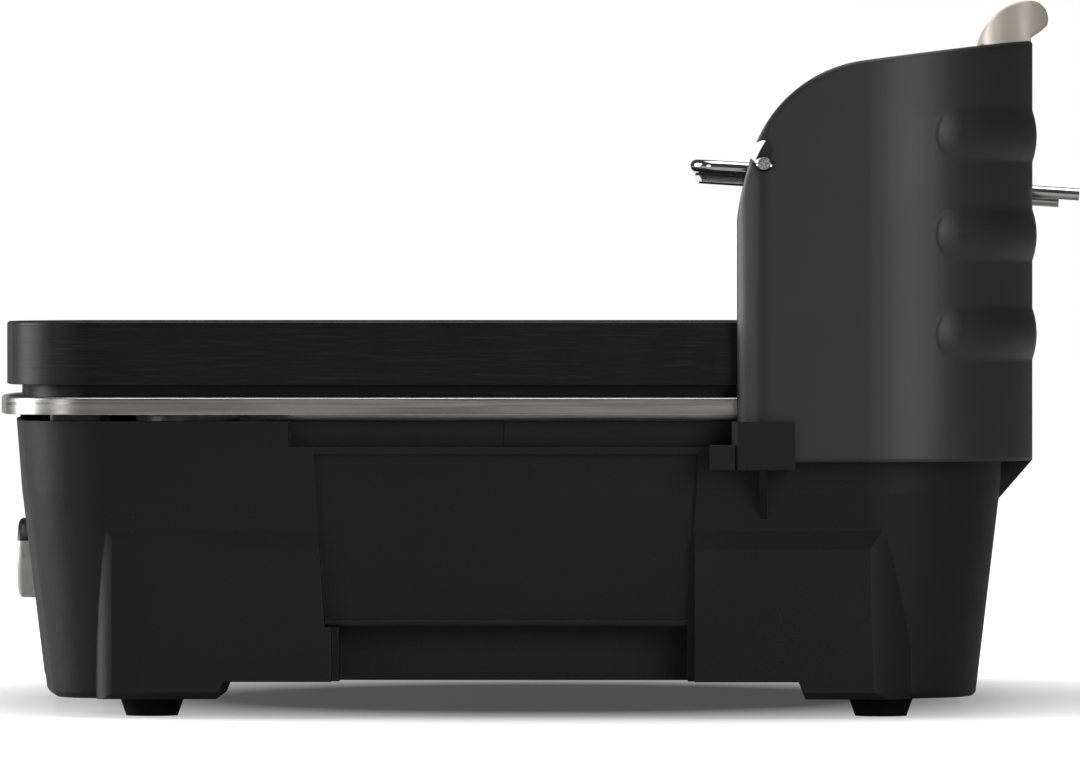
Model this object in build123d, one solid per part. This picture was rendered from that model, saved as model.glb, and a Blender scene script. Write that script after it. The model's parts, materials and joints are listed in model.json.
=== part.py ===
from build123d import *
import os
from math import asin, atan2, cos, degrees, radians, sin, sqrt, tan

os.makedirs("parts", exist_ok=True)

# Electric table grill. Millimetres, +Z up, front toward -Y, origin on the floor under the middle.

# Base housing
BASE_WIDTH = 466.0
BASE_DEPTH = 368.5
RIM_Z = 107.5
WAIST_Z = 81.0
FLOOR_Z = 13.3
LEG_Z = 7.0
WALL_T = 2.6
FLOOR_T = 3.0
FRONT_BOW = 14.4
FRONT_CORNER_R = 34.0
REAR_CORNER_R = 50.0
WAIST_INSET = 2.0
FLOOR_INSET = 10.0
LEG_INSET = 10.8
LEG_EDGE_R = 2.5
LEG_PAD_WIDTH = 78.0
LEG_PAD_FRONT = 72.0
LEG_PAD_REAR = 62.0
LEG_PAD_DRAFT = 22.0
LEG_PAD_OUT = 15.0

# Raised blocks on the side walls above the legs
BLOCK_PROUD = 0.6
BLOCK_TOP_Z = 71.0
BLOCK_FACET = 9.8
BLOCK_FRONT_START = 45.0
BLOCK_WEDGE = 18.0
BLOCK_REAR_END = 35.0
BLOCK_REAR_CURL = 36.0
BLOCK_ROUND = 16.0
BLOCK_NOSE = 6.0

# Side recesses
FINGER_FRONT = 109.0
FINGER_DEPTH = 7.0
FINGER_LEDGE = 9.2
PANEL_FRONT = 118.0
PANEL_DEPTH = 2.2
PANEL_TOP_GAP = 2.8
PANEL_DRAFT = 4.0
GRIP_FRONT = 127.0
GRIP_DEPTH = 16.0
GRIP_TOP_Z = 33.0
GRIP_LIP_R = 1.4
FINGER_RIB_T = 1.2
FINGER_RIB_PROUD = 0.5
FINGER_RIB_AT = 186.7

# Feet
FOOT_R = 11.8
FOOT_SOLE_R = 9.4
FOOT_SIDE = 40.0
FOOT_FRONT = 57.8
FOOT_REAR = 45.3
FOOT_STEM_R = 4.0
FOOT_STEM = 5.0
FOOT_CLEARANCE = 0.1

# Drip tray
TRAY_GAP = 2.3
TRAY_HEM = 6.3
TRAY_T = 1.5
TRAY_FRONT = 5.5
TRAY_SIDE = 2.0
TRAY_REAR = 1.0
TRAY_EDGE_R = 1.0
WELL_INSET = 12.5
WELL_FRONT = 48.0
WELL_DEPTH = 36.0
WELL_DRAFT = 8.0
TRAY_RIB_T = 3.0
TRAY_RIB_DEPTH = 7.0
TRAY_RIB_X = 98.0
TRAY_RIB_AHEAD = 15.0

# Grill plate
PLATE_INSET = 2.0
PLATE_T = 23.0
PLATE_EDGE_R = 1.2
PLATE_DECK = 7.0
PLATE_SKIRT = 5.0
NECK_H = 4.5
NECK_INSET = 5.4
FIELD_INSET = 12.0
FIELD_DEPTH = 3.0
GUTTER = 10.0
RIB_PITCH = 10.0
RIB_TOP = 3.6
RIB_DRAFT = 12.0
DRAIN_R = 4.0

# Heating element and its plug
ELEMENT_R = 3.3
ELEMENT_GAP = 0.2
ELEMENT_SIDE = 46.0
ELEMENT_FRONT = 72.0
ELEMENT_REAR = 40.0
ELEMENT_INNER_X = 80.0
ELEMENT_INNER_Y = 75.0
ELEMENT_BEND = 24.0
TERMINAL_BEND = 9.0
TERMINAL_X = 12.0
CLAMP_T = 1.5
CLAMP_WIDTH = 12.0
CLAMP_FLANGE = 11.0
CLAMP_SCREW = 6.0
SCREW_R = 1.6
SCREW_HEAD_R = 3.2
SCREW_HEAD = 1.9
SCREW_CLEARANCE = 0.1
PLUG_HALF = 24.0
PLUG_FRONT = 14.0
PLUG_DEPTH = 20.0
PLUG_DROP = 24.5
PIN_R = 2.0
PIN_PITCH = 14.0
PIN_LENGTH = 13.0
PIN_CLEARANCE = 0.35
SOCKET_T = 16.0
SOCKET_GAP = 2.0
SHELF_T = 4.0
WINDOW_GAP = 2.0

# Control at the front
KNOB_Z = 53.3
KNOB_R = 15.2
KNOB_PROUD = 8.0
KNOB_EDGE_R = 2.0
KNOB_GAP = 1.0
KNOB_WALL = 3.0
POCKET_GAP = 2.4
POCKET_DEPTH = 9.0
POINTER_W = 2.4
POINTER_DEPTH = 0.8
POINTER_GAP = 0.05
POINTER_START = 5.3
SHAFT_R = 3.0
SHAFT_CLEARANCE = 0.05
BUSH_R = 5.0
NUT_ACROSS = 14.0
NUT_T = 3.0
REGULATOR_W = 44.0
REGULATOR_H = 38.0
REGULATOR_D = 30.0
LAMP_X = -62.0
LAMP_R = 5.5
LAMP_PROUD = 1.0
LAMP_POCKET = 3.0
LAMP_STEM_R = 3.0
LAMP_HOLDER_R = 7.0
LAMP_HOLDER = 20.0

# Mains inlet on the rear wall
INLET_X = -150.0
INLET_Z = 45.0
INLET_W = 30.0
INLET_H = 22.0
INLET_BODY = 18.0
INLET_FLANGE = 5.0
INLET_FLANGE_T = 2.5
INLET_PROUD = 0.5
INLET_RECESS_W = 24.0
INLET_RECESS_H = 17.0
INLET_RECESS = 15.0
BLADE_W = 2.0
BLADE_H = 4.0
BLADE_PITCH = 7.0
BLADE_RAISE = 5.0
WIRE_R = 1.5
WIRE_BEND = 5.0
WIRE_STEP = 4.0
WIRE_LIVE_RUN = 40.0
WIRE_NEUTRAL_RUN = 15.0

# Service cover under the floor
COVER_W = 146.0
COVER_D = 96.0
COVER_SHARE = 0.58
COVER_T = 2.0
COVER_STEP = 8.0
COVER_GAP = 0.3
COVER_BOSS_R = 4.0
COVER_BOSS = 9.0
SLOT_LENGTH = 60.0
SLOT_W = 4.0
SLOT_PITCH = 12.0
SLOTS = 5

# Windscreen
SCREEN_T = 2.0
SCREEN_SIDE_GAP = 10.0
SCREEN_REAR_GAP = 6.3
SCREEN_BOW = 4.0
SCREEN_CORNER_R = 60.0
SCREEN_LENGTH = 105.9
SCREEN_LOW_Z = 92.9
SCREEN_TOP_Z = 245.5
SCREEN_SHOULDER_Z = 237.2
SCREEN_SHOULDER_Y = 62.0
SCREEN_HOOK_SET = 5.9
SCREEN_BEND_Z = 165.0
CURL_R = 12.0
CURL_ANGLE = 60.0
EMBOSS_Z = 139.0
EMBOSS_PITCH = 36.0
EMBOSS_HALF = 9.4
EMBOSS_PROUD = 1.6
SCREEN_EDGE_R = 1.2
EMBOSS_REACH = 35.3
EMBOSSES = 3

# Clips, ribs and gussets that carry the windscreen
CLIP_GAP = 0.6
CLIP_WALL = 2.8
CLIP_LENGTH = 22.7
CLIP_LEAD = 1.8
CLIP_LOW_Z = 90.0
CLIP_STEP = 8.0
CLIP_STEP_Z = 99.0
CLIP_BEVEL = 2.2
CLIP_RIB_T = 2.6
CLIP_RIB_LOW_Z = 71.0
GUSSET_X = 170.0
GUSSET_T = 4.0
GUSSET_LOW_Z = 77.0
GUSSET_TIP = 2.0

# Windscreen grip
GRIP_BAR_HALF = 56.0
GRIP_BAR_RISE = 18.4
GRIP_BAR_FRONT = 16.0
GRIP_BAR_REAR = 6.6
GRIP_BAR_SLOT = 0.3
GRIP_FLANGE_T = 4.0
GRIP_FLANGE = 10.0
GRIP_SCREW_X = 36.0
GRIP_SCREW_DROP = 6.0
GRIP_END_R = 12.0
GRIP_EDGE_R = 1.0

# Warming rack
WIRE_FRAME_R = 2.25
WIRE_GRID_R = 1.5
GRID_DROP = 0.7
RACK_SLOPE = 3.8
RACK_SIDE_GAP = 38.0
RACK_FRONT_R = 9.0
RACK_GRID_PITCH = 20.5
RACK_RODS_AT = 7
RACK_PIVOT_SET = 11.0
RACK_BAR_Y = 9.8
RACK_BAR_Z = 200.3
RACK_BAR_RAISE = 1.8
RACK_OVERHANG = 17.0
BAR_OVERHANG = 3.0
ROD_STICK_OUT = 15.9
ROD_HOLE_GAP = 1.0
NOTCH_GAP = 0.6
NOTCH_LIFT = 4.9
NOTCH_SET = 0.5
NOTCH_TOP = 8.4
NOTCH_MOUTH = 4.0

# Small overlap that joins moulded features to a wall, and overshoot of a cutting shape
JOIN = 1.0
OVER = 5.0
RIGHT_ANGLE = 90.0

# Positions that follow from the sizes above
half_width = BASE_WIDTH / 2
overall_depth = TRAY_FRONT + BASE_DEPTH + SCREEN_REAR_GAP + SCREEN_T + SCREEN_BOW + ROD_STICK_OUT
y_front = TRAY_FRONT - overall_depth / 2
y_rear = y_front + BASE_DEPTH
hem_z = RIM_Z + TRAY_GAP
flange_z = hem_z + TRAY_HEM
plate_low_z = flange_z + NECK_H
plate_top_z = plate_low_z + PLATE_T
deck_low_z = plate_top_z - PLATE_DECK
field_z = plate_top_z - FIELD_DEPTH
element_z = deck_low_z - ELEMENT_GAP - ELEMENT_R
screen_inner = half_width + SCREEN_SIDE_GAP
screen_outer = screen_inner + SCREEN_T
rack_half = screen_inner - RACK_SIDE_GAP
grip_top_z = SCREEN_TOP_Z + GRIP_BAR_RISE
y_screen_rear = y_rear + SCREEN_REAR_GAP + SCREEN_T
y_screen_front = y_screen_rear - SCREEN_LENGTH
curl_outer = CURL_R + SCREEN_T / 2
y_curl = y_screen_front + curl_outer * sin(radians(CURL_ANGLE))
y_screen_mid = y_screen_rear + SCREEN_BOW
clip_outer = screen_outer + CLIP_GAP + CLIP_WALL


def inset_at(z):
    """How far the tapered base wall stands inside the rim outline at height z."""
    if z > WAIST_Z:
        return WAIST_INSET * (RIM_Z - z) / (RIM_Z - WAIST_Z)
    return WAIST_INSET + (FLOOR_INSET - WAIST_INSET) * (WAIST_Z - z) / (WAIST_Z - FLOOR_Z)


def side_at(z):
    """Outer face of the side wall at height z."""
    return half_width - inset_at(z)


def front_at(z, x=0.0):
    """Outer face of the bowed front wall at height z and offset x."""
    return y_front + inset_at(z) + FRONT_BOW * (x / half_width) ** 2


def rear_at(z):
    """Outer face of the rear wall at height z."""
    return y_rear - inset_at(z)


def block(x_low, x_high, y_low, y_high, z_low, z_high):
    """Rectangular block between three pairs of limits."""
    middle = Pos((x_low + x_high) / 2, (y_low + y_high) / 2, (z_low + z_high) / 2)
    return middle * Box(x_high - x_low, y_high - y_low, z_high - z_low)


def rod(radius, start, end):
    """Straight round rod between two points."""
    axis = Vector(end) - Vector(start)
    return extrude(Plane(start, z_dir=axis) * Circle(radius), amount=axis.length)


def prism_x(points, x_low, x_high):
    """Outline of (y, z) points run from x_low to x_high."""
    return extrude(Plane.YZ.offset(x_low) * make_face(Polyline(*points, close=True)), amount=x_high - x_low)


def prism_y(points, y_low, y_high):
    """Outline of (x, z) points run from y_low to y_high."""
    return extrude(Plane.XZ.offset(-y_high) * make_face(Polyline(*points, close=True)), amount=y_high - y_low)


def prism_z(face, z_low, z_high):
    """Flat outline run from z_low to z_high."""
    return extrude(Pos(0, 0, z_low) * face, amount=z_high - z_low)


def two(shape):
    """A feature and its mirror image on the other side."""
    return shape + mirror(shape, about=Plane.YZ)


def tube(radius, bends, *points):
    """Round bar or wire along straight runs with rounded bends."""
    path = FilletPolyline(*points, radius=bends)
    return sweep(Plane(path @ 0, z_dir=path % 0) * Circle(radius), path=path)


def plan(half, front, rear, bow, front_r, rear_r):
    """Footprint with a bowed front and rounded corners."""
    arc = ThreePointArc((-half, front + bow), (0, front), (half, front + bow))
    rest = Polyline((half, front + bow), (half, rear), (-half, rear), (-half, front + bow))
    face = make_face(arc + rest)
    corners = face.vertices().sort_by(Axis.Y)
    face = fillet(corners[:2], front_r)
    corners = face.vertices().sort_by(Axis.Y)
    return fillet(corners[-2:], rear_r)


def base_plan(inset):
    """Base footprint drawn in by an inset."""
    return plan(half_width - inset, y_front + inset, y_rear - inset, FRONT_BOW,
                FRONT_CORNER_R - inset, REAR_CORNER_R - inset)


def tray_plan(inset, front_inset=None):
    """Footprint shared by the tray rim, the plate and their inner edges."""
    ahead = inset if front_inset is None else front_inset
    return plan(half_width + TRAY_SIDE - inset, y_front - TRAY_FRONT + ahead, y_rear + TRAY_REAR - inset,
                FRONT_BOW, FRONT_CORNER_R - min(inset, FRONT_CORNER_R / 2),
                REAR_CORNER_R - min(inset, REAR_CORNER_R / 2))


def tapered(*levels):
    """Straight-sided tiers through base footprints at (height, inset) levels."""
    return loft([Pos(0, 0, z) * base_plan(inset) for z, inset in levels], ruled=True)


def screen_region(grow):
    """Footprint inside a windscreen surface that stands grow outside the sheet's inner face."""
    side = screen_inner + grow
    back = y_screen_rear - SCREEN_T + grow
    arc = ThreePointArc((side, back), (0, back + SCREEN_BOW), (-side, back))
    rest = Polyline((-side, back), (-side, y_curl), (side, y_curl), (side, back))
    face = make_face(arc + rest)
    corners = face.vertices().sort_by(Axis.Y)
    return fillet(corners[-2:], SCREEN_CORNER_R - SCREEN_T + grow)


def curl_face(grow):
    """Footprint of the front edge that curls inward, thickened by grow on each face."""
    middle = Vector(screen_inner + SCREEN_T / 2 - CURL_R, y_curl)
    outside = curl_outer + grow
    inside = curl_outer - SCREEN_T - grow
    sweep_angle = CURL_ANGLE + grow / radians(CURL_R)

    def at(radius, angle):
        return middle + Vector(radius * cos(radians(angle)), -radius * sin(radians(angle)))

    outer = ThreePointArc(at(outside, 0), at(outside, sweep_angle / 2), at(outside, sweep_angle))
    end = Line(at(outside, sweep_angle), at(inside, sweep_angle))
    inner = ThreePointArc(at(inside, sweep_angle), at(inside, sweep_angle / 2), at(inside, 0))
    start = Line(at(inside, 0), at(outside, 0))
    return make_face(outer + end + inner + start)


def screen_profile(grow):
    """Footprint of the sheet, thickened by grow on each face."""
    return screen_region(SCREEN_T + grow) - screen_region(-grow) + two(curl_face(grow))


# Rack frame of reference: the rear cross wire is the pivot, the long wires rise toward the front
y_pivot = y_screen_rear - SCREEN_T - RACK_PIVOT_SET + SCREEN_BOW / 2
y_bar = y_screen_front + RACK_BAR_Y
slope = tan(radians(RACK_SLOPE))
z_pivot = RACK_BAR_Z - RACK_BAR_RAISE - (y_pivot - y_bar) * slope
y_rack_front = y_screen_front - RACK_OVERHANG + WIRE_FRAME_R
y_rod_end = overall_depth / 2


def rack_z(y):
    """Height of the long rack wires at depth y."""
    return z_pivot + (y_pivot - y) * slope


def grid_z(y):
    """Height of the grid wires and rods, welded a little under the frame wire."""
    return rack_z(y) - GRID_DROP


# Windscreen
y_hook = y_screen_front + SCREEN_HOOK_SET
y_shoulder = y_screen_rear - SCREEN_SHOULDER_Y
z_hook = RACK_BAR_Z + NOTCH_LIFT
foot_point = (y_screen_front - JOIN, SCREEN_BEND_Z)
lower_arc = TangentArc(foot_point, (y_hook, z_hook), tangent=(0, 1))
upper_arc = TangentArc((y_hook, z_hook), (y_shoulder, SCREEN_SHOULDER_Z), tangent=lower_arc % 1)
brow = Polyline((y_shoulder, SCREEN_SHOULDER_Z), (y_screen_rear, SCREEN_TOP_Z),
                (y_screen_mid + OVER, SCREEN_TOP_Z), (y_screen_mid + OVER, SCREEN_LOW_Z),
                (y_screen_front - JOIN, SCREEN_LOW_Z), foot_point)
side_view = extrude(Plane.YZ * make_face(lower_arc + upper_arc + brow), amount=screen_outer + OVER, both=True)
windscreen = prism_z(screen_profile(0), SCREEN_LOW_Z, SCREEN_TOP_Z) & side_view
core = prism_z(screen_region(SCREEN_T / 2), SCREEN_LOW_Z - JOIN, SCREEN_TOP_Z + JOIN)


def on_rim(edge):
    """True for the outer edge along the top of the sheet, behind the curled front."""
    middle = edge @ 0.5
    upright = abs((edge % 0).Z) > cos(radians(1))
    return middle.Z > SCREEN_BEND_Z and middle.Y > y_curl and not upright and not core.is_inside(middle)


windscreen = fillet(windscreen.edges().filter_by(on_rim), SCREEN_EDGE_R)


# Pressed ribs: a pillow section swept round the rear corner, with a domed end on each side
bow_r = (screen_outer ** 2 + SCREEN_BOW ** 2) / (2 * SCREEN_BOW)
bow_middle = Vector(0, y_screen_mid - bow_r)
corner_x = screen_outer - SCREEN_CORNER_R
corner_y = bow_middle.Y + sqrt((bow_r - SCREEN_CORNER_R) ** 2 - corner_x ** 2)
dome_angle = degrees(asin((y_screen_rear - EMBOSS_REACH + EMBOSS_HALF - corner_y) / SCREEN_CORNER_R))
bow_angle = degrees(atan2(corner_y - bow_middle.Y, corner_x))


def on_arc(x, y, radius, angle, z):
    """Point at an angle on a level arc."""
    return Vector(x + radius * cos(radians(angle)), y + radius * sin(radians(angle)), z)


def pillow(level, depth, half):
    """Right half of one rib standing on the surface depth inside the sheet's outer face."""
    start = on_arc(corner_x, corner_y, SCREEN_CORNER_R, dome_angle, level)
    turn = on_arc(corner_x, corner_y, SCREEN_CORNER_R, (dome_angle + bow_angle) / 2, level)
    corner_end = on_arc(corner_x, corner_y, SCREEN_CORNER_R, bow_angle, level)
    bow_turn = on_arc(0, bow_middle.Y, bow_r, (RIGHT_ANGLE + bow_angle) / 2, level)
    bow_end = on_arc(0, bow_middle.Y, bow_r, RIGHT_ANGLE, level)
    path = Wire([ThreePointArc(start, turn, corner_end), ThreePointArc(corner_end, bow_turn, bow_end)])
    normal = Vector(cos(radians(dome_angle)), sin(radians(dome_angle)), 0)
    root = -depth - JOIN
    crest = EMBOSS_PROUD - depth
    crown = ThreePointArc((-depth, -half), (crest, 0), (-depth, half))
    rest = Polyline((-depth, half), (root, half), (root, -half), (-depth, -half))
    across = Plane(start, x_dir=normal, z_dir=path % 0)
    rib = sweep(across * make_face(crown + rest), path=path)
    rise = (crest + depth) / 2
    reach = (half ** 2 + EMBOSS_PROUD ** 2) / (2 * EMBOSS_PROUD)
    shoulder = sqrt(reach ** 2 - (reach - EMBOSS_PROUD + rise) ** 2)
    dome_crown = ThreePointArc((crest, 0), (rise - depth, shoulder), (-depth, half))
    dome_rest = Polyline((-depth, half), (root, half), (root, 0), (crest, 0))
    dome = revolve(across * make_face(dome_crown + dome_rest), axis=Axis(start, normal))
    return rib + dome


for rib in range(EMBOSSES):
    level = EMBOSS_Z + rib * EMBOSS_PITCH
    windscreen += two(pillow(level, 0, EMBOSS_HALF))
    windscreen -= two(pillow(level, SCREEN_T, EMBOSS_HALF - EMBOSS_PROUD))

notch_r = WIRE_FRAME_R + NOTCH_GAP
notch_side = notch_r + NOTCH_SET
seat = ThreePointArc((-notch_r, 0), (0, -notch_r), (notch_r, 0))
wall = Line((notch_r, 0), (notch_side, NOTCH_LIFT))
roof_turn = (notch_r - NOTCH_SET, NOTCH_TOP - 3 * NOTCH_SET)
roof = ThreePointArc((notch_side, NOTCH_LIFT), roof_turn, (-NOTCH_GAP, NOTCH_TOP))
mouth_front = -notch_r - 2 * NOTCH_MOUTH
mouth = Polyline((-NOTCH_GAP, NOTCH_TOP), (mouth_front, NOTCH_TOP - NOTCH_MOUTH),
                 (-notch_r - NOTCH_MOUTH, NOTCH_MOUTH), (-notch_r, 0))
notch = Pos(y_bar, RACK_BAR_Z) * make_face(seat + wall + roof + mouth)
windscreen -= extrude(Plane.YZ * notch, amount=screen_outer + OVER, both=True)

rod_x = RACK_RODS_AT * RACK_GRID_PITCH
rod_start = (rod_x, y_pivot, grid_z(y_pivot))
rod_hole = rod(WIRE_FRAME_R + ROD_HOLE_GAP, rod_start, (rod_x, y_rod_end, grid_z(y_rod_end)))
windscreen -= two(rod_hole)
grip_screw_z = SCREEN_TOP_Z - GRIP_SCREW_DROP
for side in (-1, 1):
    at_wall = (side * GRIP_SCREW_X, y_screen_mid - OVER, grip_screw_z)
    past_wall = (side * GRIP_SCREW_X, y_screen_mid + OVER, grip_screw_z)
    windscreen -= rod(SCREW_R + SCREW_CLEARANCE, at_wall, past_wall)

# Windscreen grip: sits on the rear wall's top edge, with a flange inside
wall_in = y_screen_mid - SCREEN_T - GRIP_BAR_SLOT
wall_out = y_screen_mid + GRIP_BAR_SLOT
seat_z = SCREEN_TOP_Z
grip_low = seat_z - GRIP_BAR_SLOT
crown = (y_screen_mid, grip_top_z)
nose = (wall_in - GRIP_BAR_FRONT, seat_z + 2 * JOIN)
tip = (y_screen_mid + GRIP_BAR_REAR, (seat_z + grip_top_z) / 2)
front_curve = TangentArc(crown, nose, tangent=(-1, 0))
rear_curve = TangentArc(crown, tip, tangent=(1, 0))
underside = Polyline(tip, (wall_out, seat_z + OVER), (wall_out, seat_z), (wall_in, seat_z),
                     (wall_in, seat_z - GRIP_FLANGE), (wall_in - GRIP_FLANGE_T, seat_z - GRIP_FLANGE),
                     (wall_in - GRIP_FLANGE_T, grip_low), nose)
grip_face = make_face(front_curve + rear_curve + underside)
windscreen_grip = extrude(Plane.YZ * grip_face, amount=GRIP_BAR_HALF, both=True)
grip_depth = tip[0] - nose[0]
grip_round = RectangleRounded(2 * GRIP_BAR_HALF, grip_depth + JOIN, GRIP_END_R)
grip_plan = Pos(0, (tip[0] + nose[0]) / 2) * grip_round
windscreen_grip &= prism_z(grip_plan, seat_z - GRIP_FLANGE - OVER, grip_top_z + OVER)


def on_grip_end(edge):
    """True for the curved edges round the ends of the grip, above the sheet."""
    middle = edge @ 0.5
    at_end = abs(middle.X) > GRIP_BAR_HALF - GRIP_END_R - JOIN
    return at_end and middle.Z > seat_z + OVER and edge.geom_type != GeomType.LINE


windscreen_grip = fillet(windscreen_grip.edges().filter_by(on_grip_end), GRIP_EDGE_R)
grip_screws = []
for side in (-1, 1):
    head = (side * GRIP_SCREW_X, wall_in - GRIP_FLANGE_T - SCREW_HEAD, grip_screw_z)
    under = (side * GRIP_SCREW_X, wall_in - GRIP_FLANGE_T, grip_screw_z)
    end = (side * GRIP_SCREW_X, y_screen_mid + JOIN, grip_screw_z)
    windscreen_grip -= rod(SCREW_R + SCREW_CLEARANCE, head, end)
    grip_screws.append(rod(SCREW_HEAD_R, head, under) + rod(SCREW_R, under, end))

# Warming rack, one welded grid
bar_z = RACK_BAR_Z
frame_low = (rack_half, y_pivot, rack_z(y_pivot))
frame_front = (rack_half, y_rack_front, rack_z(y_rack_front))
warming_rack = tube(WIRE_FRAME_R, RACK_FRONT_R, frame_low, frame_front,
                    (-rack_half, y_rack_front, rack_z(y_rack_front)), (-rack_half, y_pivot, rack_z(y_pivot)))
warming_rack += rod(WIRE_FRAME_R, (-rack_half - WIRE_FRAME_R, y_pivot, z_pivot),
                    (rack_half + WIRE_FRAME_R, y_pivot, z_pivot))
bar_end = screen_outer + BAR_OVERHANG
warming_rack += rod(WIRE_FRAME_R, (-bar_end, y_bar, bar_z), (bar_end, y_bar, bar_z))
grid_count = int((rack_half - WIRE_FRAME_R - RACK_GRID_PITCH / 2) / RACK_GRID_PITCH)
for step in range(-grid_count, grid_count + 1):
    x = step * RACK_GRID_PITCH
    is_rod = abs(step) == RACK_RODS_AT
    radius = WIRE_FRAME_R if is_rod else WIRE_GRID_R
    y_end = y_rod_end if is_rod else y_pivot + JOIN
    y_start = y_rack_front - JOIN / 2
    warming_rack += rod(radius, (x, y_start, grid_z(y_start)), (x, y_end, grid_z(y_end)))

# Base housing: tapered tub
floor_top = FLOOR_Z + FLOOR_T
above = RIM_Z + OVER
base_housing = tapered((FLOOR_Z, FLOOR_INSET), (WAIST_Z, WAIST_INSET), (RIM_Z, 0))
base_housing -= tapered((floor_top, inset_at(floor_top) + WALL_T), (WAIST_Z, WAIST_INSET + WALL_T),
                        (above, inset_at(above) + WALL_T))

# Leg pads
pad_slab = tapered((LEG_Z, LEG_INSET), (FLOOR_Z, FLOOR_INSET))
pad_slab = fillet(pad_slab.faces().sort_by(Axis.Z)[0].edges(), LEG_EDGE_R)
side_low = half_width - LEG_INSET
y_pad_front = y_front + LEG_INSET
y_pad_rear = y_rear - LEG_INSET


def pad(y_low, y_high):
    """Block that picks one leg pad out of the slab; its inner sides lean outward going up."""
    width = LEG_PAD_WIDTH + LEG_PAD_OUT
    middle = Pos(side_low - LEG_PAD_WIDTH + width / 2, (y_low + y_high) / 2, LEG_Z)
    face = middle * Rectangle(width, y_high - y_low)
    return extrude(face, amount=FLOOR_Z - LEG_Z, taper=-LEG_PAD_DRAFT)


front_pad = pad(y_pad_front - OVER, y_pad_front + LEG_PAD_FRONT)
rear_pad = pad(y_pad_rear - LEG_PAD_REAR, y_pad_rear + OVER)
base_housing += two(pad_slab & front_pad)
base_housing += two(pad_slab & rear_pad)

# Raised side blocks over the legs
block_x = side_at(WAIST_Z) + BLOCK_PROUD
block_root = side_at(FLOOR_Z) - WALL_T / 2
block_low = block_x - BLOCK_PROUD
y_block = y_front + BLOCK_FRONT_START
y_panel = y_front + PANEL_FRONT
y_panel_end = y_screen_front - CLIP_LEAD - CLIP_STEP - PANEL_DRAFT
y_grip = y_front + GRIP_FRONT
y_grip_end = y_panel_end - PANEL_DRAFT
y_block_end = y_rear - BLOCK_REAR_END
block_section = prism_y([(block_root, LEG_Z), (block_low - LEG_EDGE_R, LEG_Z),
                         (block_low, LEG_Z + LEG_EDGE_R), (block_x, BLOCK_TOP_Z - BLOCK_FACET),
                         (side_at(BLOCK_TOP_Z) - WALL_T / 2, BLOCK_TOP_Z), (block_root, BLOCK_TOP_Z)],
                        y_front, y_rear)
nose_x = block_low - BLOCK_PROUD
nose_turn = (nose_x - BLOCK_NOSE / 3, y_block - BLOCK_NOSE / 2)
front_nose = ThreePointArc((block_root, y_block - BLOCK_NOSE), nose_turn, (nose_x, y_block))
front_rest = Polyline((nose_x, y_block), (block_x, y_block + BLOCK_WEDGE), (block_x, y_grip - WALL_T),
                      (block_root, y_grip - WALL_T), (block_root, y_block - BLOCK_NOSE))
front_block = make_face(front_nose + front_rest)
y_curl_start = y_block_end - BLOCK_REAR_CURL
rear_curl = ThreePointArc((block_x, y_curl_start), (block_x - JOIN, y_block_end - BLOCK_REAR_CURL / 3),
                          (block_root, y_block_end))
rear_rest = Polyline((block_root, y_block_end), (block_root, y_grip_end + WALL_T),
                     (block_x, y_grip_end + WALL_T), (block_x, y_curl_start))
rear_block = make_face(rear_curl + rear_rest)
rear_view = make_face(Polyline((y_grip_end, FLOOR_Z), (y_block_end, FLOOR_Z), (y_block_end, BLOCK_TOP_Z),
                               (y_grip_end, BLOCK_TOP_Z), close=True))
rear_view = fillet(rear_view.vertices().sort_by(Axis.X)[-2:].sort_by(Axis.Y)[-1], BLOCK_ROUND)
rear_outline = extrude(Plane.YZ * rear_view, amount=half_width)
base_housing += two(block_section & prism_z(front_block, FLOOR_Z, BLOCK_TOP_Z))
base_housing += two(block_section & prism_z(rear_block, FLOOR_Z, BLOCK_TOP_Z) & rear_outline)
base_housing += two(block_section & prism_z(front_block, LEG_Z, FLOOR_Z) & front_pad)
base_housing += two(block_section & prism_z(rear_block, LEG_Z, FLOOR_Z) & rear_pad)

# Side recesses: finger recess under the tray rim, grip panel and the grip itself
finger_x = half_width - FINGER_DEPTH
finger_z = RIM_Z - FINGER_LEDGE
y_finger = y_front + FINGER_FRONT
y_finger_end = y_screen_front - CLIP_LEAD
base_housing += two(block(finger_x - WALL_T, side_at(finger_z) - JOIN, y_finger - WALL_T,
                          y_finger_end + WALL_T, finger_z - WALL_T, RIM_Z))
base_housing -= two(block(finger_x, half_width + OVER, y_finger, y_finger_end, finger_z, RIM_Z + OVER))
panel_top = finger_z - PANEL_TOP_GAP
panel_view = [(y_panel, panel_top), (y_panel_end, panel_top),
              (y_panel_end - PANEL_DRAFT, GRIP_TOP_Z), (y_panel + PANEL_DRAFT, GRIP_TOP_Z)]


def panel_section(depth, low, high, outer):
    """Slab along the tapered side wall, from depth inside its face to the outer offset."""
    waist_x = side_at(WAIST_Z)
    return prism_y([(side_at(low) - depth, low), (side_at(low) + outer, low), (waist_x + outer, WAIST_Z),
                    (side_at(high) + outer, high), (side_at(high) - depth, high),
                    (waist_x - depth, WAIST_Z)], y_front, y_rear)


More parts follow.
